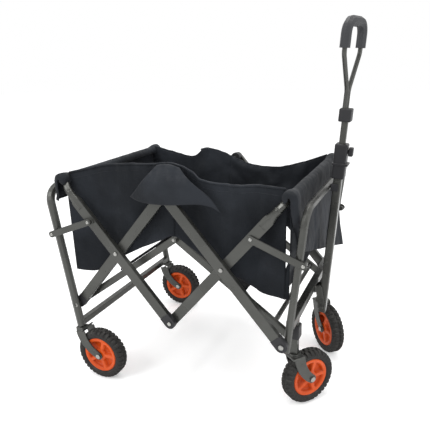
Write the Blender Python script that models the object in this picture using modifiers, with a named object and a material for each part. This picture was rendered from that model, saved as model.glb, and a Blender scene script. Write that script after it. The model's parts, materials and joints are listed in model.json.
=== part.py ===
"""Half-folded utility wagon with a pull handle, built at rest. Metres, +Z up, front toward +X."""

import math

import bmesh
import bpy
from mathutils import Matrix, Vector

# Driving sizes
tyre_radius = 0.080
tyre_width = 0.040
hub_radius = 0.7 * tyre_radius
bore_radius = 0.0053
axle_radius = 0.0050
pivot_height = 0.240
bar_length = 0.495
bar_angle = math.radians(49.4)
bar_width = 0.029
cap_width = 0.032
bar_thick = 0.014
bar_gap = 0.001
outer_face = 0.2725
leg_radius = 0.010
rear_radius = 0.0118
rear_tilt = math.radians(8.2)
front_tilt = math.radians(6.1)
leg_top = 0.600
cross_radius = 0.010
cross_bend = 0.045
bar_end = 0.87
cross_at = 1.03
link_at = 0.736
link_height = 0.465
link_width = 0.019
link_thick = 0.0035
rear_wheel_x = 0.069
caster_y = 0.1735
caster_trail = 0.047
caster_yaws = (math.radians(51.5), math.radians(-49.0))
floor_length = 0.397
floor_width = 0.020
floor_thick = 0.012
floor_outer = 0.2255
handle_tube = 0.022
handle_x = 0.0374 + handle_tube / 2
handle_z = 0.232
handle_tilt = math.radians(3.9)
handle_inner = 0.0165
bag_top = 0.645
bag_bottom = 0.385
bag_peak = 0.478
panel_reach = 0.218
middle_reach = 0.090
slide_near = 0.200
slide_inset = 0.022

# Clearances and small sizes
gap = 0.0003
lock_lift = 0.009
pin_radius = 0.0040
hole_radius = 0.0043
cap_length = 0.026
plate_thick = 0.003
wall = 0.002

# Points worked out from the driving sizes, in the XZ plane
span = bar_length * math.cos(bar_angle)
rise = bar_length * math.sin(bar_angle)
foot_rear = (0.0, pivot_height)
foot_mid = (span, pivot_height)
foot_front = (2 * span, pivot_height)
top_rear = (0.0, pivot_height + rise)
top_mid = (span, pivot_height + rise)
top_front = (2 * span, pivot_height + rise)
mid_height = pivot_height + rise / 2
outer_layer = (outer_face - bar_thick, outer_face)
inner_layer = (outer_face - 2 * bar_thick - bar_gap, outer_face - bar_thick - bar_gap)
rear_leg_y = outer_layer[0] + rear_radius
rear_wheel_y = outer_face - 0.0125
front_leg_y = inner_layer[1] - leg_radius
link_layer = (rear_leg_y + rear_radius + 0.0005, rear_leg_y + rear_radius + 0.0005 + link_thick)

sides = {"right": -1, "left": 1}


def rear_leg_x(z):
    return -0.0044 - (z - pivot_height) * math.tan(rear_tilt)


def front_leg_x(z):
    return 2 * span + 0.0098 + (z - pivot_height) * math.tan(front_tilt)


def handle_point(z, x=0.0):
    """A point of the handle line at height z, moved x along +X."""
    return Vector((2 * span + handle_x + (z - handle_z) * math.tan(handle_tilt) + x, 0, z))


def between(start, end, share):
    return (start[0] + (end[0] - start[0]) * share, start[1] + (end[1] - start[1]) * share)


# Scene
for old in list(bpy.data.objects):
    bpy.data.objects.remove(old)
for old in list(bpy.data.collections):
    bpy.data.collections.remove(old)
wagon = bpy.data.collections.new("folding_wagon")
bpy.context.scene.collection.children.link(wagon)


def material(name, colour, roughness, metallic):
    made = bpy.data.materials.new(name)
    made.use_nodes = True
    shader = made.node_tree.nodes["Principled BSDF"]
    shader.inputs["Base Color"].default_value = (*colour, 1)
    shader.inputs["Roughness"].default_value = roughness
    shader.inputs["Metallic"].default_value = metallic
    return made


steel = material("coated_steel", (0.11, 0.11, 0.105), 0.35, 0.6)
bright = material("bright_steel", (0.55, 0.55, 0.53), 0.3, 1.0)
plastic = material("black_plastic", (0.03, 0.03, 0.032), 0.5, 0.0)
orange = material("orange_plastic", (0.75, 0.11, 0.02), 0.45, 0.0)
rubber = material("tyre_rubber", (0.02, 0.019, 0.018), 0.85, 0.0)
cloth = material("charcoal_fabric", (0.03, 0.03, 0.033), 0.95, 0.0)


# Shapes, each returned as a mesh in world space
def outward(data):
    shape = bmesh.new()
    shape.from_mesh(data)
    bmesh.ops.remove_doubles(shape, verts=shape.verts, dist=1e-6)
    bmesh.ops.dissolve_degenerate(shape, edges=shape.edges, dist=1e-6)
    bmesh.ops.recalc_face_normals(shape, faces=shape.faces)
    shape.to_mesh(data)
    shape.free()
    return data


def evaluated(obj):
    """The object's evaluated mesh in world space. The object itself is removed."""
    bpy.context.view_layer.update()
    graph = bpy.context.evaluated_depsgraph_get()
    data = bpy.data.meshes.new_from_object(obj.evaluated_get(graph))
    data.transform(obj.matrix_world)
    bpy.data.objects.remove(obj)
    return outward(data)


def linked(data, name="work"):
    obj = bpy.data.objects.new(name, data)
    wagon.objects.link(obj)
    return obj


def circle(centre, radius, count=24):
    turn = 2 * math.pi / count
    return [
        (centre[0] + radius * math.cos(turn * i), centre[1] + radius * math.sin(turn * i))
        for i in range(count)
    ]


def plate(outline, low, high, holes=()):
    """A flat outline in the XZ plane, running from low to high along Y."""
    curve = bpy.data.curves.new("outline", "CURVE")
    curve.dimensions = "2D"
    curve.fill_mode = "BOTH"
    curve.extrude = abs(high - low) / 2
    for loop in (outline, *holes):
        spline = curve.splines.new("POLY")
        spline.points.add(len(loop) - 1)
        for point, (x, z) in zip(spline.points, loop):
            point.co = (x, z, 0, 1)
        spline.use_cyclic_u = True
    obj = linked(curve)
    obj.rotation_euler = (math.pi / 2, 0, 0)
    obj.location = (0, (low + high) / 2, 0)
    return evaluated(obj)


def strip(start, end, width, cut_start=None, cut_end=None, grow=0.0):
    """Outline of a bar from start to end. Each end is round about its point, or cut square cut_ metres short."""
    along = Vector((end[0] - start[0], end[1] - start[1])).normalized()
    half = width / 2 + grow
    side = Vector((-along.y, along.x)) * half
    loop = []
    for point, way, cut in ((end, along, cut_end), (start, -along, cut_start)):
        centre = Vector(point)
        across = side if way is not along else -side
        if cut is not None:
            flat = centre - way * cut
            loop += [flat + across, flat - across]
            continue
        for i in range(13):
            turn = math.pi * i / 12
            loop.append(centre + across * math.cos(turn) + way * half * math.sin(turn))
    return [tuple(point) for point in loop]


def rod(start, end, radius, count=20):
    start, end = Vector(start), Vector(end)
    shape = bmesh.new()
    length = (end - start).length
    bmesh.ops.create_cone(
        shape, cap_ends=True, segments=count, radius1=radius, radius2=radius, depth=length
    )
    data = bpy.data.meshes.new("rod")
    shape.to_mesh(data)
    shape.free()
    turn = Vector((0, 0, 1)).rotation_difference(end - start).to_matrix().to_4x4()
    data.transform(Matrix.Translation((start + end) / 2) @ turn)
    return data


def block(centre, size, tilt=0.0, bevel=0.0, yaw=0.0):
    """A box about centre, tilted toward +X by tilt, with its edges rounded by bevel."""
    shape = bmesh.new()
    bmesh.ops.create_cube(shape, size=1)
    bmesh.ops.scale(shape, vec=size, verts=shape.verts)
    if bevel:
        bmesh.ops.bevel(
            shape, geom=list(shape.edges), offset=bevel, segments=2, profile=0.5, affect="EDGES"
        )
    data = bpy.data.meshes.new("block")
    shape.to_mesh(data)
    shape.free()
    turn = Matrix.Rotation(yaw, 4, "Z") @ Matrix.Rotation(tilt, 4, "Y")
    data.transform(Matrix.Translation(centre) @ turn)
    return data


def rounded_path(points, radius, count=7):
    """The path through points with each inner corner rounded."""
    path = [Vector(points[0])]
    for before, corner, after in zip(points, points[1:], points[2:]):
        corner = Vector(corner)
        back = (Vector(before) - corner).normalized()
        ahead = (Vector(after) - corner).normalized()
        angle = back.angle(ahead)
        reach = radius / math.tan(angle / 2)
        centre = corner + (back + ahead).normalized() * radius / math.sin(angle / 2)
        first = corner + back * reach - centre
        last = corner + ahead * reach - centre
        sweep = first.angle(last)
        for i in range(count + 1):
            share = i / count
            weight = math.sin((1 - share) * sweep), math.sin(share * sweep)
            path.append(centre + (first * weight[0] + last * weight[1]) / math.sin(sweep))
    path.append(Vector(points[-1]))
    return path


def tube(path, radius):
    curve = bpy.data.curves.new("path", "CURVE")
    curve.dimensions = "3D"
    curve.bevel_depth = radius
    curve.bevel_resolution = 2
    curve.use_fill_caps = True
    spline = curve.splines.new("POLY")
    spline.points.add(len(path) - 1)
    for point, place in zip(spline.points, path):
        point.co = (*place, 1)
    return evaluated(linked(curve))


def turned(profile, centre, yaw=0.0, steps=40):
    """A closed profile of (radius, offset) turned about an axis along Y, turned by yaw about Z."""
    data = bpy.data.meshes.new("profile")
    count = len(profile)
    data.from_pydata(
        [(radius, 0, offset) for radius, offset in profile],
        [(i, (i + 1) % count) for i in range(count)],
        [],
    )
    obj = linked(data)
    screw = obj.modifiers.new("turn", "SCREW")
    screw.axis = "Z"
    screw.steps = steps
    screw.render_steps = steps
    screw.use_merge_vertices = True
    screw.merge_threshold = 1e-5
    turn = Matrix.Rotation(yaw, 4, "Z") @ Matrix.Rotation(-math.pi / 2, 4, "X")
    obj.matrix_world = Matrix.Translation(centre) @ turn
    return evaluated(obj)


def combined(first, others, operation):
    base = linked(first, "base")
    helpers = []
    for i, other in enumerate(others):
        helper = linked(other, f"helper_{i}")
        helpers.append(helper)
        step = base.modifiers.new(f"step_{i}", "BOOLEAN")
        step.operation = operation
        step.solver = "EXACT"
        step.object = helper
    data = evaluated(base)
    for helper in helpers:
        bpy.data.objects.remove(helper)
    return data


def fused(*shapes):
    return combined(shapes[0], shapes[1:], "UNION")


def carved(shape, *cutters):
    return combined(shape, cutters, "DIFFERENCE")


def piece(name, data, look, origin=(0, 0, 0)):
    data.transform(Matrix.Translation(-Vector(origin)))
    data.name = name
    data.materials.clear()
    data.materials.append(look)
    obj = linked(data, name)
    obj.location = origin
    return obj


def at(point, y=0.0):
    return (point[0], y, point[1])


# Scissor bars
hole_ab = (span / 2, mid_height)
hole_cd = (1.5 * span, mid_height)
link_rear = between(foot_mid, top_rear, link_at)
link_front = between(foot_mid, top_front, link_at)
cross_rear = between(foot_mid, top_rear, cross_at)
cross_front = between(foot_mid, top_front, cross_at)


def pin(point, low, high, radius=pin_radius):
    return rod(at(point, low), at(point, high), radius)


def bar_frame(name, top, cross, inside, extra):
    """One inverted U: a flat bar on each side, joined by a round tube that bends across at the top."""
    layer = outer_layer if inside is None else inner_layer
    middle = (layer[0] + layer[1]) / 2
    end = between(foot_mid, cross, bar_end / cross_at)
    start = between(foot_mid, cross, (bar_end - 0.043) / cross_at)
    shapes = []
    for side in sides.values():
        low, high = sorted((side * layer[0], side * layer[1]))
        cut = cap_length if inside is None else None
        holes = [circle(inside, hole_radius)] if inside else []
        shapes.append(plate(strip(foot_mid, end, bar_width, cut_start=cut), low, high, holes))
    path = [at(start, -middle), at(cross, -middle), at(cross, middle), at(start, middle)]
    shapes.append(tube(rounded_path(path, cross_bend), cross_radius))
    return piece(name, fused(*shapes, *extra), steel, at(top))


spacer = []
for side in sides.values():
    # The pin of the middle pivot runs inward through the inner bar. The link rests on a round spacer.
    spacer.append(pin(hole_ab, side * inner_layer[0], side * (outer_face + 0.002)))
    spacer.append(pin(link_rear, side * (outer_face - 0.004), side * (link_layer[0] - 0.0005), 0.008))
bar_frame("rear_bars", hole_ab, cross_rear, None, spacer)

extra = [rod(at(foot_mid, -inner_layer[1] + 0.007), at(foot_mid, inner_layer[1] - 0.007), 0.008)]
for side in sides.values():
    extra.append(pin(foot_mid, side * (inner_layer[0] + 0.004), side * (outer_face + 0.002)))
bar_frame("front_bars", hole_cd, cross_front, hole_cd, extra)

for word, side in sides.items():
    low, high = sorted((side * inner_layer[0], side * inner_layer[1]))
    holes = [circle(hole_ab, hole_radius)]
    bar = strip(foot_rear, top_mid, bar_width, cap_length, cap_length)
    piece(f"rear_brace_{word}", plate(bar, low, high, holes), steel, at(foot_rear))
    near = between(foot_rear, top_mid, 2 * cap_length / bar_length)
    lower = strip(foot_rear, near, cap_width, cut_end=cap_length + gap)
    piece(
        f"brace_foot_cap_{word}",
        plate(lower, low, high, [circle(foot_rear, hole_radius)]),
        plastic,
        at(foot_rear),
    )
    near = between(top_mid, foot_rear, 2 * cap_length / bar_length)
    upper = strip(top_mid, near, cap_width, cut_end=cap_length + gap)
    piece(
        f"brace_top_cap_{word}",
        plate(upper, low, high, [circle(top_mid, hole_radius)]),
        plastic,
        at(top_mid),
    )
    low, high = sorted((side * outer_layer[0], side * outer_layer[1]))
    bar = plate(strip(top_mid, foot_front, bar_width, cut_end=cap_length), low, high)
    pins = [
        pin(top_mid, side * inner_layer[0], side * (outer_face + 0.002)),
        pin(hole_cd, side * inner_layer[0], side * (outer_face + 0.002)),
    ]
    piece(f"front_brace_{word}", fused(bar, *pins), steel, at(top_mid))
    near = between(foot_front, top_mid, 2 * cap_length / bar_length)
    lower = strip(foot_front, near, cap_width, cut_end=cap_length + gap)
    piece(
        f"front_foot_cap_{word}",
        plate(lower, low, high, [circle(foot_front, hole_radius)]),
        plastic,
        at(foot_front),
    )
    near = between(foot_mid, top_rear, 2 * cap_length / bar_length)
    lower = strip(foot_mid, near, cap_width, cut_end=cap_length + gap)
    piece(
        f"middle_foot_cap_{word}",
        plate(lower, low, high, [circle(foot_mid, hole_radius)]),
        plastic,
        at(foot_mid),
    )


# Rear frame with its forks
def u_frame(x_of, leg_y, bottom, radius):
    points = [
        (x_of(bottom), -leg_y, bottom),
        (x_of(leg_top), -leg_y, leg_top),
        (x_of(leg_top), leg_y, leg_top),
        (x_of(bottom), leg_y, bottom),
    ]
    return tube(rounded_path(points, 0.045), radius)


rear_bottom = 0.168
rear_low_bar = 0.178
link_root = (rear_leg_x(link_height) - 0.014, link_height)
rear_shapes = [
    u_frame(rear_leg_x, rear_leg_y, rear_bottom, rear_radius),
    block((rear_leg_x(rear_low_bar), 0, rear_low_bar), (0.018, 2 * rear_leg_y, 0.018)),
]
for side in sides.values():
    rear_shapes.append(pin(foot_rear, side * 0.2115, side * (rear_leg_y + rear_radius + 0.002)))
    tab = strip(link_root, (rear_leg_x(link_height), link_height), 0.014)
    low, high = sorted((side * (rear_leg_y - 0.006), side * (rear_leg_y + 0.006)))
    rear_shapes.append(plate(tab, low, high))
    rear_shapes.append(pin(link_root, side * rear_leg_y, side * link_layer[1]))
piece("rear_frame", fused(*rear_shapes), steel)

fork_inner = tyre_width / 2 + 0.0010
fork_outer = fork_inner + plate_thick
axle_rear = (rear_wheel_x, tyre_radius)


def cheek(axle, root, width_axle, width_root):
    """Outline of a bowed fork cheek from the axle to its root."""
    axle, root = Vector(axle), Vector(root)
    bow = Vector((root.x + 0.006, axle.y + 0.38 * (root.y - axle.y)))
    left, right = [], []
    for i in range(11):
        t = i / 10
        point = axle * (1 - t) ** 2 + bow * 2 * t * (1 - t) + root * t * t
        way = ((bow - axle) * (1 - t) + (root - bow) * t).normalized()
        side = Vector((-way.y, way.x))
        width = width_axle + (width_root - width_axle) * t
        left.append(tuple(point + side * width))
        right.append(tuple(point - side * width))
    way = (bow - axle).normalized()
    side = Vector((-way.y, way.x))
    nose = []
    for i in range(1, 8):
        turn = math.pi * i / 8
        nose.append(tuple(axle - side * width_axle * math.cos(turn) - way * width_axle * math.sin(turn)))
    return left[::-1] + [nose[7 - i] for i in range(1, 8)] + right


def pocket_ring():
    """The hub's profile: a bored boss, a thin web and a rim."""
    half = tyre_width / 2 - 0.004
    return [
        (bore_radius, -half - 0.003),
        (0.014, -half - 0.003),
        (0.017, -0.006),
        (0.044, -0.006),
        (0.047, -half),
        (hub_radius, -half),
        (hub_radius, half),
        (0.047, half),
        (0.044, 0.006),
        (0.017, 0.006),
        (0.014, half + 0.003),
        (bore_radius, half + 0.003),
    ]


def tyre_ring():
    half = tyre_width / 2
    inside = hub_radius + gap
    return [
        (inside, -half + 0.005),
        (inside + 0.006, -half + 0.001),
        (tyre_radius - 0.010, -half),
        (tyre_radius - 0.003, -half + 0.004),
        (tyre_radius, -half + 0.012),
        (tyre_radius, half - 0.012),
        (tyre_radius - 0.003, half - 0.004),
        (tyre_radius - 0.010, half),
        (inside + 0.006, half - 0.001),
        (inside, half - 0.005),
    ]


def wheel(word, centre, yaw):
    piece(f"tyre_{word}", turned(tyre_ring(), centre, yaw), rubber, centre)
    piece(f"hub_{word}", turned(pocket_ring(), centre, yaw), orange, centre)
    way = Vector((-math.sin(yaw), math.cos(yaw), 0))
    heads = [
        rod(Vector(centre) + way * s * (fork_outer + gap), Vector(centre) + way * s * (fork_outer + 0.004), 0.0075)
        for s in (-1, 1)
    ]
    ends = [Vector(centre) + way * s * (fork_outer + 0.002) for s in (-1, 1)]
    piece(f"axle_{word}", fused(rod(*ends, axle_radius), *heads), bright, centre)


def fork(word, centre, root, yaw, extra):
    """A fork of two cheeks and a bridge over the tyre. Its shapes are made about the wheel centre at yaw 0."""
    shapes = []
    axle = (0, 0)
    for s in (-1, 1):
        low, high = sorted((s * fork_inner, s * fork_outer))
        outline = cheek(axle, root, 0.0125, 0.0165)
        shapes.append(plate(outline, low, high, [circle(axle, bore_radius, 20)]))
    shapes += extra
    data = fused(*shapes)
    data.transform(Matrix.Translation(centre) @ Matrix.Rotation(yaw, 4, "Z"))
    return data


for word, side in sides.items():
    centre = (rear_wheel_x, side * rear_wheel_y, tyre_radius)
    wheel(f"rear_{word}", centre, 0.0)
    root = (rear_leg_x(rear_bottom) - rear_wheel_x + 0.004, 0.074)
    slope = math.atan2(-root[0], root[1])
    bridge = [
        block((root[0], 0, root[1]), (0.028, 2 * fork_outer, 0.005), -slope),
        block(
            (rear_leg_x(rear_bottom) - rear_wheel_x, side * (rear_leg_y - rear_wheel_y), 0.0790),
            (0.024, 0.024, 0.0140),
        ),
    ]
    data = fork(word, centre, root, 0.0, bridge)
    piece(f"rear_fork_{word}", data, steel, centre)


# Front frame with its casters
front_bottom = 0.214
front_low_bar = 0.293
post_x = front_leg_x(pivot_height)
post_bottom = 0.170
front_shapes = [
    u_frame(front_leg_x, front_leg_y, front_bottom, leg_radius),
    block((front_leg_x(front_low_bar), 0, front_low_bar), (0.020, 2 * front_leg_y, 0.020)),
]
front_root = (front_leg_x(link_height) + 0.014, link_height)
front_link_layer = (outer_layer[0], outer_layer[0] + link_thick)
for side in sides.values():
    front_shapes.append(pin(foot_front, side * front_leg_y, side * (outer_face + 0.002)))
    tab = strip(front_root, (front_leg_x(link_height), link_height), 0.014)
    low, high = sorted((side * (front_leg_y - 0.006), side * (front_leg_y + 0.006)))
    front_shapes.append(plate(tab, low, high))
    front_shapes.append(pin(front_root, side * front_leg_y, side * front_link_layer[1]))
    front_shapes.append(
        block((post_x, side * caster_y, 0.236), (0.028, 0.030, 0.036), bevel=0.003)
    )
    front_shapes.append(
        block(
            (post_x, side * caster_y, (front_low_bar + post_bottom) / 2),
            (0.020, 0.020, front_low_bar - post_bottom),
        )
    )
piece("front_frame", fused(*front_shapes), steel, at((front_leg_x(pivot_height), pivot_height)))

for (word, side), yaw in zip(sides.items(), caster_yaws):
    swivel = Vector((post_x, side * caster_y, 0))
    trail = Vector((math.cos(yaw), math.sin(yaw), 0)) * caster_trail
    centre = swivel + trail + Vector((0, 0, tyre_radius))
    wheel(f"front_{word}", centre, yaw)
    crown_z = post_bottom - tyre_radius - 0.010
    root = (-caster_trail + 0.003, crown_z)
    shapes = [
        block((-caster_trail, 0, crown_z), (0.036, 2 * fork_outer, 0.006)),
        rod((-caster_trail, 0, crown_z - 0.001), (-caster_trail, 0, post_bottom - tyre_radius - gap), 0.017),
    ]
    data = fork(word, centre, root, yaw, shapes)
    piece(f"caster_fork_{word}", data, steel, swivel + Vector((0, 0, tyre_radius)))

# Links
for word, side in sides.items():
    low, high = sorted((side * link_layer[0], side * link_layer[1]))
    holes = [circle(link_root, hole_radius)]
    data = plate(strip(link_root, link_rear, link_width), low, high, holes)
    piece(f"rear_link_{word}", data, steel, at(link_root))
    low, high = sorted((side * (front_link_layer[0] + gap), side * front_link_layer[1]))
    holes = [circle(front_root, hole_radius)]
    data = plate(strip(front_root, link_front, link_width), low, high, holes)
    piece(f"front_link_{word}", data, steel, at(front_root))

# Floor frame, its two halves
floor_angle = math.acos(span / floor_length)
ridge = (span, pivot_height + floor_length * math.sin(floor_angle))
floor_inner = floor_outer - floor_thick - bar_gap


def floor_half(name, foot, layer_high, holes, pins, origin):
    shapes = []
    for side in sides.values():
        low, high = sorted((side * (layer_high - floor_thick), side * layer_high))
        outline = strip(foot, ridge, floor_width)
        shapes.append(plate(outline, low, high, [circle(point, hole_radius) for point in holes]))
        if pins:
            shapes.append(pin(ridge, side * (layer_high - floor_thick - 0.013), side * (layer_high - 0.002)))
    reach = layer_high - floor_thick / 2
    cross = between(foot, ridge, 0.12)
    shapes.append(rod(at(cross, -reach), at(cross, reach), 0.007))
    piece(name, fused(*shapes), steel, at(origin))


floor_half("rear_floor_frame", foot_rear, floor_outer, [foot_rear], True, foot_rear)
floor_half("front_floor_frame", foot_front, floor_inner, [ridge, foot_front], False, ridge)

# Handle
pull = handle_point(handle_z)
along = Vector((math.sin(handle_tilt), 0, math.cos(handle_tilt)))
tube_low = handle_point(handle_z - 0.018)
tube_high = handle_point(0.690 + lock_lift)
tube_mid = (tube_low + tube_high) / 2
tube_run = (tube_high - tube_low).length
lower = carved(
    block(tube_mid, (handle_tube, handle_tube, tube_run), handle_tilt, 0.0025),
    block(tube_mid, (handle_inner + 2 * gap, handle_inner + 2 * gap, tube_run + 0.02), handle_tilt),
    rod(pull - Vector((0, 0.03, 0)), pull + Vector((0, 0.03, 0)), hole_radius),
)
piece("handle_lower_tube", lower, steel, pull)

crossbar_face = front_leg_x(front_low_bar) + 0.010
half_tube = handle_tube / 2
bracket = [
    block((crossbar_face + gap + 0.002, 0, front_low_bar), (0.004, 0.044, 0.024)),
    rod(pull - Vector((0, half_tube + 0.006, 0)), pull + Vector((0, half_tube + 0.006, 0)), pin_radius),
]
for side in sides.values():
    low, high = sorted((side * (half_tube + 0.001), side * (half_tube + 0.004)))
    ear = strip((crossbar_face + 0.0125, front_low_bar), (pull.x, pull.z), 0.020)
    bracket.append(plate(ear, low, high))
piece("handle_bracket", fused(*bracket), steel, (crossbar_face, 0, front_low_bar))

clip_thick = 0.0022
clip_back = handle_point(leg_top).x - half_tube - clip_thick - 0.0013
clip_run = half_tube + clip_thick + 0.006
clip = [block((clip_back + clip_thick / 2, 0, leg_top), (clip_thick, handle_tube + 0.009, 0.020))]
for side in sides.values():
    clip.append(
        block(
            (clip_back + clip_run / 2, side * (half_tube + 0.0032), leg_top),
            (clip_run, 0.0025, 0.020),
        )
    )
piece("handle_clip", fused(*clip), plastic, (clip_back, 0, leg_top))

lock_low = handle_point(0.615 + lock_lift)
lock_high = handle_point(0.710 + lock_lift)
lock_mid = (lock_low + lock_high) / 2
lock = carved(
    fused(
        block(lock_mid, (0.034, 0.034, 0.0952), handle_tilt, 0.004),
        block(handle_point(0.655 + lock_lift, 0.002), (0.042, 0.038, 0.006), handle_tilt, 0.001),
    ),
    block(tube_mid, (handle_tube + 2 * gap, handle_tube + 2 * gap, tube_run + 2 * gap), handle_tilt),
    block(lock_mid, (handle_inner + 2 * gap, handle_inner + 2 * gap, 0.12), handle_tilt),
    block(handle_point(0.688 + lock_lift, 0.0165), (0.008, 0.0088, 0.0088), handle_tilt),
)
piece("handle_lock", lock, plastic, lock_mid)
button_at = handle_point(0.688 + lock_lift, 0.0250)
button = fused(
    block(button_at, (0.012, 0.018, 0.024), handle_tilt, 0.003),
    block(handle_point(0.688 + lock_lift, 0.0178), (0.0075, 0.008, 0.008), handle_tilt),
)
piece("lock_button", button, plastic, button_at)

inner_low = handle_point(0.440)
inner_high = handle_point(0.790)
inner = block(
    (inner_low + inner_high) / 2,
    (handle_inner, handle_inner, (inner_high - inner_low).length),
    handle_tilt,
    0.002,
)
piece("handle_inner_tube", inner, steel, (inner_low + inner_high) / 2)

loop_yaw = math.radians(11)
loop_turn = Matrix.Rotation(-loop_yaw, 4, "Z")


def loop_point(z, y):
    base = handle_point(z, -0.003)
    return base + loop_turn @ Vector((0, y, 0))


loop_half = 0.056
loop_points = [
    loop_point(0.794, -0.0070),
    loop_point(0.858, -0.0070),
    loop_point(0.945, -loop_half),
    loop_point(1.020, -loop_half),
    loop_point(1.020, loop_half),
    loop_point(0.945, loop_half),
    loop_point(0.858, 0.0070),
    loop_point(0.794, 0.0070),
]
loop_path = rounded_path(loop_points, 0.030, 6)
piece("handle_loop", tube(loop_path, 0.006), steel, loop_point(0.794, 0))
grip_points = [
    loop_point(0.958, -loop_half),
    loop_point(1.020, -loop_half),
    loop_point(1.020, loop_half),
    loop_point(0.958, loop_half),
]
bore_points = [
    loop_point(0.945, -loop_half),
    loop_point(1.020, -loop_half),
    loop_point(1.020, loop_half),
    loop_point(0.945, loop_half),
]
grip = carved(
    tube(rounded_path(grip_points, 0.030, 8), 0.013),
    tube(rounded_path(bore_points, 0.030, 8), 0.006 + gap),
)
piece("handle_grip", grip, rubber, loop_point(1.020, 0))

collar_mid = handle_point(0.7935)
collar = carved(
    block(collar_mid, (0.032, 0.036, 0.034), handle_tilt, 0.003),
    block(
        (inner_low + inner_high) / 2,
        (handle_inner + 2 * gap, handle_inner + 2 * gap, (inner_high - inner_low).length + 2 * gap),
        handle_tilt,
    ),
    rod(loop_point(0.793, -0.0070), loop_point(0.850, -0.0070), 0.0064, 32),
    rod(loop_point(0.793, 0.0070), loop_point(0.850, 0.0070), 0.0064, 32),
)
piece("handle_collar", collar, plastic, collar_mid)

# Bag: hemmed end panels, side panels in three layers and two floor boards
sleeve_inner = cross_radius + gap
sleeve_outer = sleeve_inner + 0.003
panel_thick = 0.0025
layer_step = panel_thick + bar_gap
panel_faces = {
    word: inner_layer[0] - bar_gap - layer_step * i
    for i, word in enumerate(("rear", "slider", "middle", "front"))
}
end_reach = 0.188


def hem_outline(cross, way):
    """A sleeve round the crossbar with a panel hanging below it."""
    open_angle = math.radians(20)
    loop = []
    for i in range(21):
        turn = -math.pi / 2 + open_angle + (2 * math.pi - 2 * open_angle) * i / 20
        loop.append((cross[0] - way * sleeve_outer * math.cos(turn), cross[1] + sleeve_outer * math.sin(turn)))
    foot_x = sleeve_outer * math.sin(open_angle)
    loop.append((cross[0] + way * foot_x, bag_bottom))
    loop.append((cross[0] - way * foot_x, bag_bottom))
    return loop


def side_outline(x_low, x_high, top=bag_top):
    count = 8
    step = (x_high - x_low) / count
    lower = [(x_low + step * i, hem_bottom(x_low + step * i)) for i in range(count + 1)]
    return lower + [(x_high, top), (x_low, top)]


def hem_bottom(x):
    """The bag's lower edge, level at each end and rising to a peak at the middle."""
    away = min(abs(x - span) / (span * 0.8), 1)
    return bag_peak + (bag_bottom - bag_peak) * away


def side_panel(word, side, x_low, x_high, top=bag_top):
    high = panel_faces[word]
    low, high = sorted((side * (high - panel_thick), side * high))
    return plate(side_outline(x_low, x_high, top), low, high)


for word, cross, way in (("rear", cross_rear, -1), ("front", cross_front, 1)):
    panel = plate(hem_outline(cross, way), -end_reach, end_reach, [circle(cross, sleeve_inner)])
    wing_top = cross[1] - 0.037
    high = panel_faces[word] - panel_thick / 2
    inset = (cross[0], 0, (wing_top + bag_bottom) / 2)
    shapes = [block(inset, (0.006, 2 * high, wing_top - bag_bottom - 0.004))]
    for side in sides.values():
        ends = sorted((cross[0], cross[0] - way * panel_reach))
        shapes.append(side_panel(word, side, *ends, wing_top))
    piece(f"bag_{word}_end", fused(panel, *shapes), cloth, at(cross))

for word, side in sides.items():
    data = side_panel("slider", side, slide_near, span - slide_inset)
    piece(f"bag_rear_side_{word}", data, cloth, at(cross_rear))
    data = side_panel("slider", side, span + slide_inset, 2 * span - slide_near)
    piece(f"bag_front_side_{word}", data, cloth, at(cross_front))
    data = side_panel("middle", side, span - middle_reach, span + middle_reach)
    piece(f"bag_middle_side_{word}", data, cloth, at(top_mid))

board_thick = 0.006
for word, foot, way in (("rear", foot_rear, 1), ("front", foot_front, -1)):
    centre = Vector(at(between(foot, ridge, 0.66)))
    lift = Vector((-way * math.sin(floor_angle), 0, math.cos(floor_angle)))
    centre += lift * (floor_width / 2 + gap + board_thick / 2)
    size = (floor_length * 0.60, 0.400, board_thick)
    data = block(centre, size, -way * floor_angle)
    piece(f"floor_board_{word}", data, cloth, at(foot_rear if way == 1 else ridge))

# The whole wagon is moved so that the middle of its outer box is over the origin.
bpy.context.view_layer.update()
corners = [obj.matrix_world @ Vector(corner) for obj in wagon.objects for corner in obj.bound_box]
shift = -(min(c.x for c in corners) + max(c.x for c in corners)) / 2
for obj in wagon.objects:
    obj.location.x += shift
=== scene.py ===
import json
import math

import bmesh
import bpy
from mathutils import Matrix, Vector, noise


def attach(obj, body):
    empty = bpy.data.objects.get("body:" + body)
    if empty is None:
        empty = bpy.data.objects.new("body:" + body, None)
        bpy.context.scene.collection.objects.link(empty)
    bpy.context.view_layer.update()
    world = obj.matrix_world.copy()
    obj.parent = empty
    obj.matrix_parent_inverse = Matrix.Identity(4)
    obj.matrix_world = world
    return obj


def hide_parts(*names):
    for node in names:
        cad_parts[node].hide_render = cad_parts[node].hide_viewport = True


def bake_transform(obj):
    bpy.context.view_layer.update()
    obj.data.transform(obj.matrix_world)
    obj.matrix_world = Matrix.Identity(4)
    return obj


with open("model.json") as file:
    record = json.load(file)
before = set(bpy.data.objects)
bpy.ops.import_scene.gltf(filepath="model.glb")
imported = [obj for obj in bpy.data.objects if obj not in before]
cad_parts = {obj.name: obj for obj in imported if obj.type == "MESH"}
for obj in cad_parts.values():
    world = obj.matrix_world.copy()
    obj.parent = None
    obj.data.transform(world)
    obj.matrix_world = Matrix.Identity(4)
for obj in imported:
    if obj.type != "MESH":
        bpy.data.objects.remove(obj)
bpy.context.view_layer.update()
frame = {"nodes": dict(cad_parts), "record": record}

print("wagon: frame loaded")
joints = {joint["name"]: joint for joint in frame["record"]["behaviour"]["joints"]}
rearX = joints["fold"]["pos_m"][0]
span = (joints["front_foot"]["pos_m"][0] - rearX) / 2
sideOf = {"Right": -1, "Left": 1}


def at(x, y, z):
    return Vector((rearX + x, y, z))


def jointAt(name):
    x, y, z = joints[name]["pos_m"]
    return x - rearX, z


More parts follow.
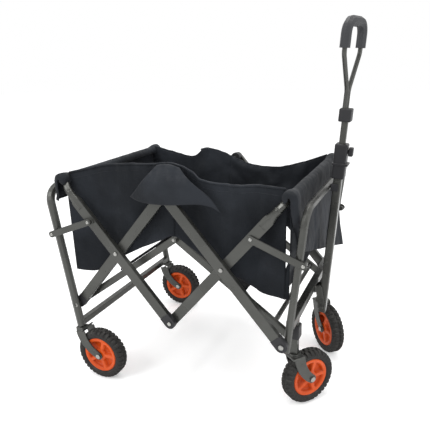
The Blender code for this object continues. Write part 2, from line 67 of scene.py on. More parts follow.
def share(start, end, amount):
    return tuple(a + (b - a) * amount for a, b in zip(start, end))


# camera
camera = {"place": (0.939, -1.302, 0.932), "turn": 0.426, "down": 0.306, "roll": -0.029, "lens": 40.3}


def makeCamera():
    turn, down, roll = camera["turn"], camera["down"], camera["roll"]
    look = Vector((-math.sin(turn) * math.cos(down), math.cos(turn) * math.cos(down), -math.sin(down)))
    right = look.cross(Vector((0, 0, 1))).normalized()
    up = right.cross(look)
    rolledRight = right * math.cos(roll) + up * math.sin(roll)
    rolledUp = up * math.cos(roll) - right * math.sin(roll)
    data = bpy.data.cameras.new("studioCamera")
    data.lens = camera["lens"]
    data.clip_start = 0.05
    obj = bpy.data.objects.new("studioCamera", data)
    bpy.context.scene.collection.objects.link(obj)
    turnMatrix = Matrix((rolledRight, rolledUp, -look)).transposed().to_4x4()
    obj.matrix_world = Matrix.Translation(at(*camera["place"])) @ turnMatrix
    bpy.context.scene.camera = obj


makeCamera()

# studio
studio = {"floor": (0.93, 0.93, 0.93), "glow": 0.22, "reach": 14.0, "world": 1.0, "key": 38.0,
          "fill": 16.0, "top": 26.0}


def areaLight(name, place, target, size, power):
    data = bpy.data.lights.new(name, "AREA")
    data.shape = "RECTANGLE"
    data.size, data.size_y = size
    data.energy = power
    obj = bpy.data.objects.new(name, data)
    obj.location = place
    obj.rotation_euler = (Vector(target) - Vector(place)).to_track_quat("-Z", "Y").to_euler()
    bpy.context.scene.collection.objects.link(obj)


def makeStudio():
    world = bpy.data.worlds.new("studioWorld")
    world.use_nodes = True
    background = world.node_tree.nodes["Background"]
    background.inputs["Color"].default_value = (1, 1, 1, 1)
    background.inputs["Strength"].default_value = studio["world"]
    bpy.context.scene.world = world
    areaLight("keyLight", (-1.2, -2.2, 2.2), (0, 0, 0.4), (1.2, 1.2), studio["key"])
    areaLight("fillLight", (2.4, -0.6, 1.4), (0, 0, 0.4), (1.0, 1.6), studio["fill"])
    areaLight("topLight", (0.1, 0.4, 2.6), (0, 0, 0.3), (1.6, 1.0), studio["top"])
    bpy.context.scene.view_settings.view_transform = "Standard"
    bpy.context.scene.view_settings.look = "None"


makeStudio()


# shared effects
def makeGroup(name, inputs, outputs):
    tree = bpy.data.node_groups.new(name, "ShaderNodeTree")
    for word, kind, value in inputs:
        socket = tree.interface.new_socket(name=word, in_out="INPUT", socket_type=kind)
        if value is not None:
            socket.default_value = value
    for word, kind in outputs:
        tree.interface.new_socket(name=word, in_out="OUTPUT", socket_type=kind)
    return tree, tree.nodes.new("NodeGroupInput"), tree.nodes.new("NodeGroupOutput")


class Wiring:
    def __init__(self, tree):
        self.tree = tree

    def node(self, kind, **settings):
        made = self.tree.nodes.new(kind)
        for key, value in settings.items():
            if key in made.inputs:
                self.feed(made.inputs[key], value)
            else:
                setattr(made, key, value)
        return made

    def feed(self, socket, value):
        if isinstance(value, bpy.types.NodeSocket):
            self.tree.links.new(value, socket)
        else:
            socket.default_value = value

    def math(self, operation, first, second=0.0, clamp=False):
        made = self.tree.nodes.new("ShaderNodeMath")
        made.operation = operation
        made.use_clamp = clamp
        self.feed(made.inputs[0], first)
        self.feed(made.inputs[1], second)
        return made.outputs[0]

    def ramp(self, value, low, high, start=0.0, end=1.0):
        made = self.tree.nodes.new("ShaderNodeMapRange")
        made.interpolation_type = "SMOOTHSTEP"
        for word, number in (("From Min", low), ("From Max", high), ("To Min", start), ("To Max", end)):
            self.feed(made.inputs[word], number)
        self.feed(made.inputs["Value"], value)
        return made.outputs["Result"]

    def mix(self, factor, first, second):
        made = self.tree.nodes.new("ShaderNodeMix")
        made.data_type = "RGBA"
        self.feed(made.inputs["Factor"], factor)
        self.feed(made.inputs[6], first)
        self.feed(made.inputs[7], second)
        return made.outputs[2]

    def noise(self, scale, detail=3.0, vector=None):
        made = self.tree.nodes.new("ShaderNodeTexNoise")
        self.feed(made.inputs["Scale"], scale)
        made.inputs["Detail"].default_value = detail
        if vector is not None:
            self.tree.links.new(vector, made.inputs["Vector"])
        return made.outputs["Fac"]


def colour4(colour):
    return (*colour, 1.0)


def makeEdgeWear():
    tree, given, out = makeGroup(
        "edgeWear",
        [("Radius", "NodeSocketFloat", 0.0012), ("Amount", "NodeSocketFloat", 0.5)],
        [("Mask", "NodeSocketFloat"), ("Normal", "NodeSocketVector")],
    )
    w = Wiring(tree)
    bevel = w.node("ShaderNodeBevel", samples=4)
    w.feed(bevel.inputs["Radius"], given.outputs["Radius"])
    geometry = w.node("ShaderNodeNewGeometry")
    dot = w.node("ShaderNodeVectorMath", operation="DOT_PRODUCT")
    w.feed(dot.inputs[0], bevel.outputs[0])
    w.feed(dot.inputs[1], geometry.outputs["Normal"])
    edge = w.ramp(dot.outputs["Value"], 0.995, 0.90)
    coords = w.node("ShaderNodeTexCoord")
    patches = w.ramp(w.noise(90.0, 4.0, coords.outputs["Object"]), 0.42, 0.62)
    mask = w.math("MULTIPLY", w.math("MULTIPLY", edge, patches), given.outputs["Amount"], True)
    w.feed(out.inputs["Mask"], mask)
    w.feed(out.inputs["Normal"], bevel.outputs[0])
    return tree


def makeGrain():
    tree, given, out = makeGroup(
        "surfaceGrain",
        [("Scale", "NodeSocketFloat", 900.0), ("Patch Scale", "NodeSocketFloat", 9.0)],
        [("Height", "NodeSocketFloat"), ("Patches", "NodeSocketFloat")],
    )
    w = Wiring(tree)
    coords = w.node("ShaderNodeTexCoord").outputs["Object"]
    w.feed(out.inputs["Height"], w.noise(given.outputs["Scale"], 2.0, coords))
    w.feed(out.inputs["Patches"], w.ramp(w.noise(given.outputs["Patch Scale"], 4.0, coords), 0.3, 0.7))
    return tree


# weave and crease heights for bumps, and a painted sheen mask of broad lighter patches
def makeWeaveAndSheen():
    tree, given, out = makeGroup(
        "clothWeaveAndSheen",
        [("Thread", "NodeSocketFloat", 1100.0), ("Slub", "NodeSocketFloat", 0.35)],
        [("Height", "NodeSocketFloat"), ("Painted Sheen", "NodeSocketFloat"), ("Crease", "NodeSocketFloat")],
    )
    w = Wiring(tree)
    coords = w.node("ShaderNodeTexCoord").outputs["Object"]
    parts = w.node("ShaderNodeSeparateXYZ", Vector=coords)
    along = w.math("ADD", parts.outputs["X"], parts.outputs["Y"])
    first = w.math("SINE", w.math("MULTIPLY", along, given.outputs["Thread"]))
    second = w.math("SINE", w.math("MULTIPLY", parts.outputs["Z"], given.outputs["Thread"]))
    threads = w.math("MAXIMUM", first, second)
    slub = w.math("MULTIPLY", w.noise(420.0, 2.0, coords), given.outputs["Slub"])
    w.feed(out.inputs["Height"], w.math("ADD", w.math("MULTIPLY", threads, 0.4), slub))
    # painted sheen: broad lighter noise patches that stand in for the highlights on the cloth's folds
    w.feed(out.inputs["Painted Sheen"], w.ramp(w.noise(5.0, 5.0, coords), 0.38, 0.66))
    w.feed(out.inputs["Crease"], w.noise(19.0, 3.0, coords))
    return tree


def makeDust():
    tree, given, out = makeGroup(
        "settledDust",
        [("Amount", "NodeSocketFloat", 0.3)],
        [("Mask", "NodeSocketFloat")],
    )
    w = Wiring(tree)
    parts = w.node("ShaderNodeSeparateXYZ", Vector=w.node("ShaderNodeNewGeometry").outputs["Normal"])
    coords = w.node("ShaderNodeTexCoord").outputs["Object"]
    upward = w.ramp(parts.outputs["Z"], 0.2, 1.0)
    speckle = w.ramp(w.noise(60.0, 6.0, coords), 0.35, 0.75)
    settled = w.math("MULTIPLY", upward, speckle)
    w.feed(out.inputs["Mask"], w.math("MULTIPLY", settled, given.outputs["Amount"], True))
    return tree


edgeWear, surfaceGrain, clothWeaveAndSheen, settledDust = makeEdgeWear(), makeGrain(), makeWeaveAndSheen(), makeDust()


def newMaterial(name, roughness, metallic=0.0, specular=0.5):
    made = bpy.data.materials.new(name)
    made.use_nodes = True
    shader = made.node_tree.nodes["Principled BSDF"]
    shader.inputs["Roughness"].default_value = roughness
    shader.inputs["Metallic"].default_value = metallic
    shader.inputs["Specular IOR Level"].default_value = specular
    return made, shader, Wiring(made.node_tree)


def useGroup(w, tree, **values):
    made = w.node("ShaderNodeGroup", node_tree=tree)
    for word, value in values.items():
        made.inputs[word.replace("_", " ")].default_value = value
    return made.outputs


def coated(
    name, base, patch, worn, roughness, metallic, grain=900.0, bump=0.00008, wear=0.5, dust=0.15,
    radius=0.0012, specular=0.25,
):
    made, shader, w = newMaterial(name, roughness, metallic, specular)
    edge = useGroup(w, edgeWear, Radius=radius, Amount=wear)
    grainOut = useGroup(w, surfaceGrain, Scale=grain)
    dustOut = useGroup(w, settledDust, Amount=dust)
    body = w.mix(grainOut["Patches"], colour4(base), colour4(patch))
    body = w.mix(edge["Mask"], body, colour4(worn))
    body = w.mix(dustOut["Mask"], body, colour4((0.34, 0.33, 0.31)))
    w.feed(shader.inputs["Base Color"], body)
    rough = w.ramp(grainOut["Patches"], 0.0, 1.0, roughness - 0.06, roughness + 0.08)
    w.feed(shader.inputs["Roughness"], rough)
    raised = w.node("ShaderNodeBump", Height=grainOut["Height"], Normal=edge["Normal"])
    raised.inputs["Distance"].default_value = bump
    raised.inputs["Strength"].default_value = 0.6
    w.feed(shader.inputs["Normal"], raised.outputs[0])
    return made


finishes = {
    "steel": dict(
        base=(0.056, 0.057, 0.053), patch=(0.074, 0.075, 0.070), worn=(0.30, 0.30, 0.29),
        roughness=0.29, metallic=0.7, wear=0.08, radius=0.0035,
    ),
    "bright": dict(
        base=(0.34, 0.34, 0.32), patch=(0.28, 0.28, 0.27), worn=(0.6, 0.6, 0.58),
        roughness=0.30, metallic=1.0,
    ),
    "plastic": dict(
        base=(0.014, 0.014, 0.016), patch=(0.020, 0.020, 0.022), worn=(0.09, 0.09, 0.09),
        roughness=0.46, metallic=0.0, bump=0.00012,
    ),
    "orange": dict(
        base=(0.55, 0.070, 0.005), patch=(0.46, 0.054, 0.004), worn=(0.85, 0.20, 0.06),
        roughness=0.42, metallic=0.0, dust=0.08,
    ),
    "rubber": dict(
        base=(0.014, 0.013, 0.012), patch=(0.021, 0.020, 0.019), worn=(0.06, 0.06, 0.055),
        roughness=0.74, metallic=0.0, grain=600.0, bump=0.0002,
    ),
    "grip": dict(
        base=(0.028, 0.029, 0.032), patch=(0.034, 0.035, 0.038), worn=(0.07, 0.07, 0.07),
        roughness=0.52, metallic=0.0, grain=700.0, bump=0.0002,
    ),
}
look = {name: coated(name + "Finish", **values) for name, values in finishes.items()}


def fabric(name, base, paintedSheenColour, thread=1100.0, bump=0.0004, rough=0.82, sheen=0.03):
    made, shader, w = newMaterial(name, rough, 0.0, 0.16)
    weaveAndSheen = useGroup(w, clothWeaveAndSheen, Thread=thread)
    dustOut = useGroup(w, settledDust, Amount=0.10)
    # painted sheen: broad patches of the cloth go to a lighter colour in place of highlights on its folds
    body = w.mix(weaveAndSheen["Painted Sheen"], colour4(base), colour4(paintedSheenColour))
    body = w.mix(dustOut["Mask"], body, colour4((0.22, 0.22, 0.22)))
    w.feed(shader.inputs["Base Color"], body)
    shader.inputs["Sheen Weight"].default_value = sheen
    shader.inputs["Sheen Roughness"].default_value = 0.5
    creased = w.node("ShaderNodeBump", Height=weaveAndSheen["Crease"])
    creased.inputs["Distance"].default_value = 0.012
    creased.inputs["Strength"].default_value = 0.55
    woven = w.node("ShaderNodeBump", Height=weaveAndSheen["Height"], Normal=creased.outputs[0])
    woven.inputs["Distance"].default_value = bump
    woven.inputs["Strength"].default_value = 0.5
    w.feed(shader.inputs["Normal"], woven.outputs[0])
    return made


# each cloth's second colour is its painted sheen, the lighter tone that stands in for highlights
look["cloth"] = fabric("charcoalCloth", (0.0062, 0.0076, 0.0100), (0.0150, 0.0176, 0.0222))
look["flap"] = fabric("flapCloth", (0.0084, 0.0098, 0.0122), (0.0185, 0.0212, 0.0262))
look["lining"] = fabric("liningCloth", (0.009, 0.009, 0.010), (0.013, 0.013, 0.015))

print("wagon: finishes made")


# making pieces
def shown(obj, body, slotName, *replaced):
    if replaced:
        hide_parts(*replaced)
    if body:
        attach(obj, body)
    return obj


def newPiece(name, vertices, faces, finish, smooth=True):
    data = bpy.data.meshes.new(name)
    data.from_pydata([tuple(v) for v in vertices], [], faces)
    shape = bmesh.new()
    shape.from_mesh(data)
    bmesh.ops.remove_doubles(shape, verts=shape.verts, dist=1e-6)
    bmesh.ops.recalc_face_normals(shape, faces=shape.faces)
    for face in shape.faces:
        face.smooth = smooth
    shape.to_mesh(data)
    shape.free()
    data.materials.append(look[finish])
    obj = bpy.data.objects.new(name, data)
    bpy.context.scene.collection.objects.link(obj)
    return obj


def applyAll(obj):
    bpy.context.view_layer.update()
    graph = bpy.context.evaluated_depsgraph_get()
    data = bpy.data.meshes.new_from_object(obj.evaluated_get(graph))
    obj.modifiers.clear()
    obj.data = data
    return obj


def gridFaces(rows, columns, close=False):
    faces = []
    for i in range(rows - 1):
        for j in range(columns - (0 if close else 1)):
            k = (j + 1) % columns
            faces.append((i * columns + j, i * columns + k, (i + 1) * columns + k, (i + 1) * columns + j))
    return faces


def clothPiece(name, place, rows, columns, finish, thick=0.0014):
    points = [place(j / (columns - 1), i / (rows - 1)) for i in range(rows) for j in range(columns)]
    obj = newPiece(name, points, gridFaces(rows, columns), finish)
    area = sum(face.area for face in obj.data.polygons)
    solid = obj.modifiers.new("thickness", "SOLIDIFY")
    solid.thickness = thick
    solid.offset = 0.0
    applyAll(obj)
    for face in obj.data.polygons:
        face.use_smooth = True
    return obj, area


def ringPiece(name, rings, finish):
    count = len(rings[0])
    faces = gridFaces(len(rings), count, close=True)
    faces.append(tuple(range(count)))
    faces.append(tuple(len(rings) * count - count + i for i in range(count)))
    return newPiece(name, [point for ring in rings for point in ring], faces, finish)


def turnedPiece(name, rings, finish, smooth=True):
    # rings round an axis, the last one joined to the first
    count = len(rings[0])
    faces = gridFaces(len(rings), count, close=True)
    start = (len(rings) - 1) * count
    for k in range(count):
        n = (k + 1) % count
        faces.append((start + k, start + n, n, k))
    return newPiece(name, [point for ring in rings for point in ring], faces, finish, smooth)


def joinedWords(name):
    return name.title().replace("_", "")


def lineAlong(points):
    xs = [p[0] for p in points]
    ys = [p[1] for p in points]
    slopes = []
    for i in range(len(xs)):
        low, high = max(i - 1, 0), min(i + 1, len(xs) - 1)
        slopes.append((ys[high] - ys[low]) / (xs[high] - xs[low]))

    def value(x):
        if x <= xs[0]:
            return ys[0]
        if x >= xs[-1]:
            return ys[-1]
        i = max(k for k in range(len(xs) - 1) if xs[k] <= x)
        h = xs[i + 1] - xs[i]
        t = (x - xs[i]) / h
        a, b = 2 * t**3 - 3 * t**2 + 1, t**3 - 2 * t**2 + t
        c, d = -2 * t**3 + 3 * t**2, t**3 - t**2
        return a * ys[i] + b * h * slopes[i] + c * ys[i + 1] + d * h * slopes[i + 1]

    return value


def ease(x, low, high):
    t = min(max((x - low) / (high - low), 0), 1)
    return t * t * (3 - 2 * t)


# frame finishes on the CAD nodes
nodeFinish = {
    "steel": ["rear_frame", "front_frame", "rear_bars", "front_bars", "rear_brace", "front_brace",
              "rear_link", "front_link", "rear_floor_frame", "front_floor_frame",
              "handle_lower_tube", "handle_inner_tube", "handle_loop", "handle_bracket",
              "rear_fork", "caster_fork"],
    "plastic": ["brace_foot_cap", "brace_top_cap", "front_foot_cap", "middle_foot_cap",
                "handle_lock", "lock_button", "handle_collar", "handle_clip"],
    "grip": ["handle_grip"],
    "bright": ["axle"],
    "orange": ["hub"],
    "rubber": ["tyre"],
}


def finishNodes():
    for finish, names in nodeFinish.items():
        for node, obj in frame["nodes"].items():
            if any(node.startswith(name) for name in names) and not node.startswith("bag"):
                for i in range(len(obj.material_slots)):
                    obj.material_slots[i].material = look[finish]


finishNodes()

# bag sides
bagSides = {
    "Right": dict(
        top=[(-0.01, 0.642), (0.06, 0.658), (0.12, 0.672), (0.2, 0.68), (0.27, 0.683), (0.34, 0.688),
             (0.39, 0.672), (0.42, 0.65), (0.52, 0.643), (0.56, 0.648), (0.66, 0.645)],
        bottom=[(-0.03, 0.342), (0.07, 0.35), (0.166, 0.41), (0.294, 0.474), (0.322, 0.486), (0.36, 0.472),
                (0.43, 0.43), (0.5, 0.4), (0.57, 0.366), (0.63, 0.36), (0.68, 0.35)],
        puff=0.8,
    ),
    "Left": dict(
        top=[(-0.01, 0.644), (0.08, 0.626), (0.165, 0.613), (0.21, 0.642), (0.27, 0.636), (0.314, 0.62),
             (0.38, 0.597), (0.476, 0.592), (0.56, 0.612), (0.64, 0.641)],
        bottom=[(-0.03, 0.342), (0.07, 0.35), (0.18, 0.41), (0.294, 0.474), (0.322, 0.486), (0.36, 0.472),
                (0.43, 0.43), (0.5, 0.4), (0.57, 0.366), (0.63, 0.35), (0.68, 0.34)],
        puff=1.0,
    ),
}
bagFace = 0.2395  # outer face of the side cloth, from the mid-plane
frontTuck = 0.0016  # the front half lies this much inside the rear half


def blendSide(obj, half):
    if half == "Rear":
        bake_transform(obj)
    else:
        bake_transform(obj)


def sideFold(word, x, v):
    ends = ease(x, 0.0, 0.09) * (1 - ease(x, 2 * span - 0.09, 2 * span))
    deep = math.sin(math.pi * min(max(v, 0), 1)) ** 0.8
    sway = noise.noise(Vector((x * 9, v * 1.6, sideOf[word] * 3.0)))
    ripple = math.sin(x * 58 + 2.2 * v + sideOf[word]) * 0.5 + 0.5
    fine = noise.noise(Vector((x * 30, v * 5, 4.0)))
    front = 1 + 0.5 * ease(x, span - 0.05, span + 0.10)
    pucker = 0.0016 * math.sin(x * 210 + 3 * sway) * math.exp(-v / 0.12)
    amount = 0.006 + 0.017 * front * deep * (0.6 + 0.8 * sway) + 0.007 * front * ripple * ease(v, 0.1, 0.7)
    amount += 0.0045 * fine * front + pucker
    return max(amount * ends * bagSides[word]["puff"], 0.0)


def makeSide(word, half):
    side = sideOf[word]
    top, bottom = lineAlong(bagSides[word]["top"]), lineAlong(bagSides[word]["bottom"])
    low, high = (-0.012, span + 0.008) if half == "Rear" else (span - 0.008, 2 * span - 0.001)
    tuck = 0.0 if half == "Rear" else frontTuck

    def place(u, v):
        x = low + (high - low) * u
        z = top(x) + (bottom(x) - top(x)) * v
        return at(x, side * (bagFace - tuck - sideFold(word, x, v)), z)

    obj, area = clothPiece(f"bag{half}Side{word}", place, 34, 56, "cloth")
    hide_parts(f"bag_{half.lower()}_side_{word.lower()}")
    blendSide(obj, half)


# rolled top edge and the stitched seam below it: radius, and depth under the top edge
edging = {"roll": (0.0030, 0.0), "seam": (0.0011, 0.019)}


def makeEdging(word, half, kind):
    side, (radius, below) = sideOf[word], edging[kind]
    top, bottom = lineAlong(bagSides[word]["top"]), lineAlong(bagSides[word]["bottom"])
    low, high = (0.004, span) if half == "Rear" else (span, 2 * span - 0.004)
    tuck = 0.0 if half == "Rear" else frontTuck
    steps = 56
    turns = [math.pi * k / 5 for k in range(10)]
    rings = []
    for i in range(steps + 1):
        x = low + (high - low) * i / steps
        v = below / (top(x) - bottom(x))
        centre = at(x, side * (bagFace - tuck - sideFold(word, x, v) + radius * 0.4), top(x) - below)
        rings.append([centre + Vector((0, math.cos(t), math.sin(t))) * radius for t in turns])
    obj = ringPiece(f"bag{half}{kind.capitalize()}{word}", rings, "flap")
    shown(obj, None, "charcoal_fabric")
    blendSide(obj, half)


for word in sideOf:
    for half in ("Rear", "Front"):
        makeSide(word, half)
        for kind in edging:
            makeEdging(word, half, kind)
print("wagon: bag sides made")

# middle flaps over the top pivots
flaps = {
    "Right": dict(top=(0.302, 0.366), foot=(0.218, 0.476), out=0.2785, spread=0.8,
                  crest=[(0.29, 0.684), (0.335, 0.690), (0.37, 0.682)],
                  hem=[(0.218, 0.597), (0.25, 0.590), (0.322, 0.588), (0.41, 0.594), (0.45, 0.588),
                       (0.476, 0.574)]),
    "Left": dict(top=(0.188, 0.300), foot=(0.194, 0.286), out=0.2560, spread=1.0,
                 crest=[(0.188, 0.640), (0.22, 0.646), (0.30, 0.624)],
                 hem=[(0.19, 0.578), (0.24, 0.568), (0.30, 0.574)]),
}


def makeFlap(word):
    values, side = flaps[word], sideOf[word]
    crest, hem = lineAlong(values["crest"]), lineAlong(values["hem"])

    def place(u, v):
        left = values["top"][0] + (values["foot"][0] - values["top"][0]) * v
        right = values["top"][1] + (values["foot"][1] - values["top"][1]) * v
        x = left + (right - left) * u
        above = crest(min(max(x, values["top"][0]), values["top"][1]))
        z = above + (hem(x) - above) * v
        middle = 1 / (1 + (abs(x - span) / 0.105) ** 4) if word == "Right" else 0.8
        drop = ease(v, -0.25, 0.55)
        crumple = noise.noise(Vector((x * 16, v * 2.2, side))) * 0.5
        reach = max(middle, 0.30 * values["spread"])
        y = bagFace + 0.0022 + (values["out"] - bagFace - 0.0022) * drop * reach
        y += 0.0030 * crumple * drop * (1 - 0.8 * middle)
        return at(x, side * y, z)

    obj, area = clothPiece(f"middleFlap{word}", place, 30, 44, "flap")
    shown(obj, "middle_bag", "charcoal_fabric", f"bag_middle_side_{word.lower()}")


for word in sideOf:
    makeFlap(word)

# bag ends: sleeve over the crossbar, panel inside, flap outside
ends = {
    "rear": dict(way=-1, node="bag_rear_end", half=0.2745, bulge=0.012, inset=0.004,
                 flap=[(-0.27, 0.060), (0.0, 0.055), (0.27, 0.060)],
                 low=[(-0.24, 0.342), (0.0, 0.352), (0.24, 0.342)]),
    "front": dict(way=1, node="bag_front_end", half=0.262, bulge=0.016, inset=0.044,
                  flap=[(-0.262, 0.150), (-0.18, 0.172), (0.0, 0.215), (0.16, 0.262), (0.262, 0.290)],
                  low=[(-0.24, 0.360), (-0.16, 0.330), (0.0, 0.312), (0.16, 0.330), (0.24, 0.360)]),
}
sleeve = {"radius": 0.0128, "endRadius": 0.0185, "close": 0.009}


def makeEnd(word):
    values = ends[word]
    way, half = values["way"], values["half"]
    x0, z0 = jointAt(word + "_hem")
    label = word.capitalize()
    flapDeep, panelLow = lineAlong(values["flap"]), lineAlong(values["low"])

    def radius(y):
        grown = ease(abs(y), half - 0.06, half - 0.02)
        shut = max((abs(y) - half + sleeve["close"]) / sleeve["close"], 0)
        closing = math.sqrt(max(1 - shut * shut, 0.02))
        return (sleeve["radius"] + (sleeve["endRadius"] - sleeve["radius"]) * grown) * closing

    def wrap(u, v):
        y = (2 * u - 1) * half
        r = radius(y) + 0.0008 * noise.noise(Vector((y * 30, v * 4, 1)))
        bend = min(v / 0.4, 1)
        turn = math.pi * (1.30 * bend - 0.30)
        x = x0 - way * r * math.cos(turn)
        z = z0 + r * math.sin(turn)
        down = max((v - 0.4) / 0.6, 0)
        if down > 0:
            crumple = noise.noise(Vector((y * 14, down * 2.4, 5)))
            crumple += 0.5 * noise.noise(Vector((y * 36, down * 5, 2)))
            flare = 0.030 * ease(y, 0.10, 0.26) * down * down if word == "front" else 0
            x = x0 + way * (r + 0.0015 + 0.005 * crumple * down + 0.011 * down * math.cos(y * 5) + flare)
            z = z0 - flapDeep(y) * down
            if word == "front" and y < 0:
                y *= 1 - 0.24 * ease(down, 0.05, 1.0)
        return at(x, y, z)

    piece, area = clothPiece(f"bag{label}Hem", wrap, 44, 84, "flap")
    shown(piece, word + "_hem", "charcoal_fabric")
    deep = 0.07 + max(flapDeep(y) for y in (-half, 0, half))

    def panel(u, v):
        y = (2 * u - 1) * bagFace
        low = panelLow(y)
        z = z0 - 0.008 + (low - z0 + 0.008) * v
        middle = math.cos(y / bagFace * math.pi / 2) ** 0.6 if abs(y) < bagFace else 0
        x = x0 + way * values["bulge"] * math.sin(math.pi * min(v * 1.15, 1)) * middle
        x -= way * values["inset"] * ease(v, 0.45, 0.9) * middle ** 0.3
        crumple = 0.007 * noise.noise(Vector((y * 9, v * 3, way)))
        crumple += 0.003 * noise.noise(Vector((y * 26, v * 8, way)))
        x += crumple * middle
        return at(x, y, z)

    obj, area = clothPiece(f"bag{label}Panel", panel, 40, 70, "cloth")
    shown(obj, word + "_hem", "charcoal_fabric", values["node"])
    tall = z0 - panelLow(0) + 0.03


for word in ends:
    makeEnd(word)
print("wagon: bag ends made")


# floor boards, covered and seamed; start and end are shares of the floor frame's length
board = {"start": 0.40, "end": 0.955, "half": 0.2, "lift": 0.0105, "pad": 0.0055, "crown": 0.0022,
         "seam": 0.0012}


def makeBoard(word):
    foot = jointAt("rear_floor") if word == "rear" else (2 * span, jointAt("rear_floor")[1])
    ridge = jointAt("floor_ridge")
    along = Vector((ridge[0] - foot[0], 0, ridge[1] - foot[1]))
    length = along.length
    along.normalize()
    lift = Vector((-along.z, 0, along.x)) * (1 if word == "rear" else -1)
    start, end = board["start"] * length, board["end"] * length

    def place(u, v, top):
        y = (2 * u - 1) * board["half"]
        edge = min(1.0, 12 * min(u, 1 - u), 12 * min(v, 1 - v))
        seam = board["seam"] * (abs(u - 0.5) < 0.012)
        puff = (board["pad"] + board["crown"] * math.sqrt(max(edge, 0))) if top else 0.0
        base = Vector((foot[0], 0, foot[1])) + along * (start + (end - start) * v)
        point = base + lift * (board["lift"] + puff - (seam if top else 0))
        return at(point.x, y, point.z)

    rows, columns = 26, 42
    spots = [(j / (columns - 1), i / (rows - 1)) for i in range(rows) for j in range(columns)]
    upper = [place(u, v, True) for u, v in spots]
    lower = [place(u, v, False) for u, v in spots]
    count = rows * columns
    faces = gridFaces(rows, columns)
    faces += [tuple(count + k for k in reversed(face)) for face in faces]
    rim = list(range(columns)) + [i * columns + columns - 1 for i in range(1, rows)]
    rim += [(rows - 1) * columns + j for j in range(columns - 2, -1, -1)]
    rim += [i * columns for i in range(rows - 2, 0, -1)]
    for a, b in zip(rim, rim[1:] + rim[:1]):
        faces.append((a, count + a, count + b, b))
    obj = newPiece(f"floorBoard{word.capitalize()}", upper + lower, faces, "lining")
    shown(obj, f"{word}_floor", "charcoal_fabric", f"floor_board_{word}")


makeBoard("rear")
makeBoard("front")

# wheels
wheel = {"radius": 0.080, "half": 0.020, "hub": 0.056, "lugs": 34, "groove": 0.0036, "pockets": 5}


def wheelFrame(word):
    joint = joints[f"wheel_{word}_spin"]
    axis = Vector(joint["axis"]).normalized()
    up = Vector((0, 0, 1))
    forward = axis.cross(up)
    return Vector(joint["pos_m"]), forward, axis, up


def makeTyre(word):
    centre, forward, axis, up = wheelFrame(word)
    radius, half = wheel["radius"], wheel["half"]
    inner = wheel["hub"] + 0.0003
    profile = [
        (inner, -0.015), (inner + 0.005, -0.019), (radius - 0.012, -half), (radius - 0.006, -half + 0.001),
        (radius - 0.002, -half + 0.005), (radius, -half + 0.0085), (radius, -0.0045), (radius, -0.0012),
        (radius, 0.0012), (radius, 0.0045), (radius, half - 0.0085), (radius - 0.002, half - 0.005),
        (radius - 0.006, half - 0.001), (radius - 0.012, half), (inner + 0.005, 0.019), (inner, 0.015),
    ]
    around = wheel["lugs"] * 6
    rings = []
    for i in range(around):
        angle = 2 * math.pi * i / around
        ring = []
        for k, (r, offset) in enumerate(profile):
            phase = (i + (3 if k >= 8 else 0)) % 6
            if 3 <= k <= 12:
                cut = wheel["groove"] * (phase >= 4)
                if k in (7, 8):
                    cut = wheel["groove"]
                r -= cut
            elif k in (2, 13):
                offset += math.copysign(-0.0008 * (phase >= 4), offset)
            ring.append(centre + (forward * math.cos(angle) + up * math.sin(angle)) * r + axis * offset)
        rings.append(ring)
    obj = turnedPiece("tyreTread" + joinedWords(word), rings, "rubber", smooth=False)
    shown(obj, "wheel_" + word, "tyre_rubber", "tyre_" + word)


def hubHeight(r, angle):
    turn = angle * wheel["pockets"] / (2 * math.pi)
    away = abs(turn - round(turn)) * 2 * math.pi / wheel["pockets"] * r
    spoke = 1 - ease(away, 0.0050, 0.0075)
    pocket = ease(r, 0.0185, 0.021) * (1 - ease(r, 0.0435, 0.046)) * (1 - spoke)
    face = 0.0155 + 0.002 * (1 - ease(r, 0.012, 0.02)) + 0.0012 * ease(r, 0.048, 0.05)
    return face - 0.0120 * pocket


def makeHub(word):
    centre, forward, axis, up = wheelFrame(word)
    radii = [0.0053, 0.009, 0.012, 0.016, 0.0185, 0.0198, 0.021, 0.026, 0.032, 0.038, 0.0435, 0.0447,
             0.046, 0.048, 0.050, 0.0545, wheel["hub"]]
    around = 120
    rimDrop = 0.0015
    rings = []
    for i in range(around):
        angle = 2 * math.pi * i / around
        way = forward * math.cos(angle) + up * math.sin(angle)
        heights = [hubHeight(r, angle) - (rimDrop if r > 0.055 else 0) for r in radii]
        outer = [centre + way * r + axis * height for r, height in zip(radii, heights)]
        inner = [centre + way * r - axis * height for r, height in zip(radii, heights)]
        rings.append(outer + inner[::-1])
    obj = turnedPiece("hubFace" + joinedWords(word), rings, "orange")
    shown(obj, "wheel_" + word, "orange_plastic", "hub_" + word)


for word in ("rear_right", "rear_left", "front_right", "front_left"):
    makeTyre(word)
    makeHub(word)
print("wagon: wheels made")

# rivets on each body: pivot point, distance of the face from the mid-plane, and head radius
topRear = (0.0, 2 * jointAt("rear_scissor")[1] - jointAt("fold")[1])
midFoot = (span, jointAt("fold")[1])
topFront = (2 * span, topRear[1])
linkRear = share(midFoot, topRear, 0.736)
linkFront = share(midFoot, topFront, 0.736)
rivets = {
    "rear_frame": [(jointAt("fold"), 0.2783, 0.0068), (jointAt("rear_link"), 0.2860, 0.0050)],
    "rear_bars": [(jointAt("rear_scissor"), 0.2743, 0.0060)],
    "rear_links": [(linkRear, 0.2860, 0.0050)],
    "front_bars": [(midFoot, 0.2743, 0.0062)],
    "front_links": [(linkFront, 0.2622, 0.0050)],
    "front_brace": [(jointAt("top_scissor"), 0.2743, 0.0062), (jointAt("front_scissor"), 0.2743, 0.0060)],
    "front_frame": [(jointAt("front_foot"), 0.2743, 0.0072), (jointAt("front_link"), 0.2622, 0.0050)],
    "rear_floor": [(jointAt("floor_ridge"), 0.2250, 0.0050)],
}
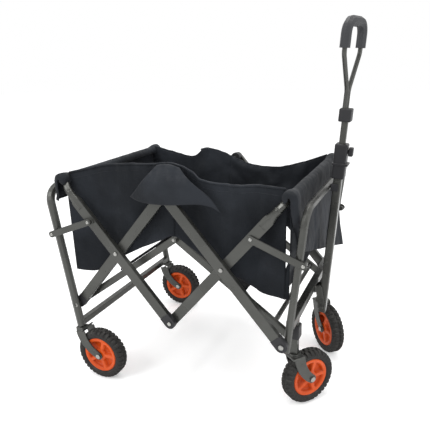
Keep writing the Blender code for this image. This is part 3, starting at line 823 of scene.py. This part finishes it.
domeShape = [(1.0, 0.0), (0.98, 0.25), (0.86, 0.55), (0.6, 0.85), (0.3, 0.97), (0.0, 1.0)]


def domeRings(centre, out, radius, height, count=20):
    side = out.orthogonal().normalized()
    other = out.cross(side)
    rings = []
    turns = [2 * math.pi * i / count for i in range(count)]
    for part, lift in domeShape:
        r = max(radius * part, 1e-5)
        middle = centre + out * height * lift
        rings.append([middle + (side * math.cos(t) + other * math.sin(t)) * r for t in turns])
    return rings


for body, places in rivets.items():
    for number, (point, face, radius) in enumerate(places, 1):
        for word, side in sideOf.items():
            height = 0.0012 if body == "rear_floor" else 0.0022
            centre = at(point[0], side * face, point[1])
            rings = domeRings(centre, Vector((0, side, 0)), radius, height)
            obj = ringPiece(f"{joinedWords(body)}Rivet{number}{word}", rings, "bright")
            shown(obj, body, "bright_steel")
print("wagon: rivets made")

# swaged shoulders where the flat bars turn into round tube
shoulder = {"flat": (0.0147, 0.0072), "round": 0.0104, "start": 0.800, "end": 0.925, "steps": 12}


def makeShoulder(body, top, middle, word):
    foot = midFoot
    cross = share(foot, top, 1.03)
    along = Vector((cross[0] - foot[0], 0, cross[1] - foot[1])).normalized()
    wide = Vector((along.z, 0, -along.x))
    out = Vector((0, sideOf[word], 0))
    rings = []
    for i in range(shoulder["steps"] + 1):
        t = i / shoulder["steps"]
        amount = shoulder["start"] + (shoulder["end"] - shoulder["start"]) * t
        place = share(foot, cross, amount)
        morph = ease(t, 0.25, 0.75)
        a = shoulder["flat"][0] + (shoulder["round"] - shoulder["flat"][0]) * morph
        b = shoulder["flat"][1] + (shoulder["round"] - shoulder["flat"][1]) * morph
        square = 5 - 3 * morph
        centre = at(place[0], sideOf[word] * middle, place[1])
        ring = []
        for k in range(28):
            turn = 2 * math.pi * k / 28
            c, d = math.cos(turn), math.sin(turn)
            size = (abs(c) ** square + abs(d) ** square) ** (-1 / square)
            ring.append(centre + wide * a * c * size + out * b * d * size)
        rings.append(ring)
    obj = ringPiece(f"{joinedWords(body)}Shoulder{word}", rings, "steel")
    shown(obj, body, "coated_steel")


for word in sideOf:
    makeShoulder("rear_bars", topRear, 0.2655, word)
    makeShoulder("front_bars", topFront, 0.2505, word)
print("wagon: shoulders made")

# sleeves round the caster posts
postSleeve = {"size": (0.031, 0.033, 0.040), "round": 0.004, "z": 0.236}


def makePostSleeves():
    for word in sideOf:
        x, y, _ = joints[f"caster_{word.lower()}_swivel"]["pos_m"]
        shape = bmesh.new()
        bmesh.ops.create_cube(shape, size=1)
        bmesh.ops.scale(shape, vec=postSleeve["size"], verts=shape.verts)
        bmesh.ops.bevel(
            shape, geom=list(shape.edges), offset=postSleeve["round"], segments=3, profile=0.5,
            affect="EDGES",
        )
        data = bpy.data.meshes.new(f"postSleeve{word}")
        shape.to_mesh(data)
        shape.free()
        data.transform(Matrix.Translation((x, y, postSleeve["z"])))
        data.materials.append(look["plastic"])
        obj = bpy.data.objects.new(f"postSleeve{word}", data)
        bpy.context.scene.collection.objects.link(obj)
        shown(obj, "front_frame", "black_plastic")


makePostSleeves()


# floor
def makeFloor():
    half = studio["reach"]
    corners = [(-half, -half, 0), (half, -half, 0), (half, half, 0), (-half, half, 0)]
    obj = newPiece("studioFloor", corners, [(0, 1, 2, 3)], "steel")
    made, shader, w = newMaterial("studioFloorFinish", 0.9)
    w.feed(shader.inputs["Base Color"], colour4(studio["floor"]))
    shader.inputs["Emission Color"].default_value = (1, 1, 1, 1)
    shader.inputs["Emission Strength"].default_value = studio["glow"]
    obj.data.materials.clear()
    obj.data.materials.append(made)


makeFloor()

print("wagon: done")
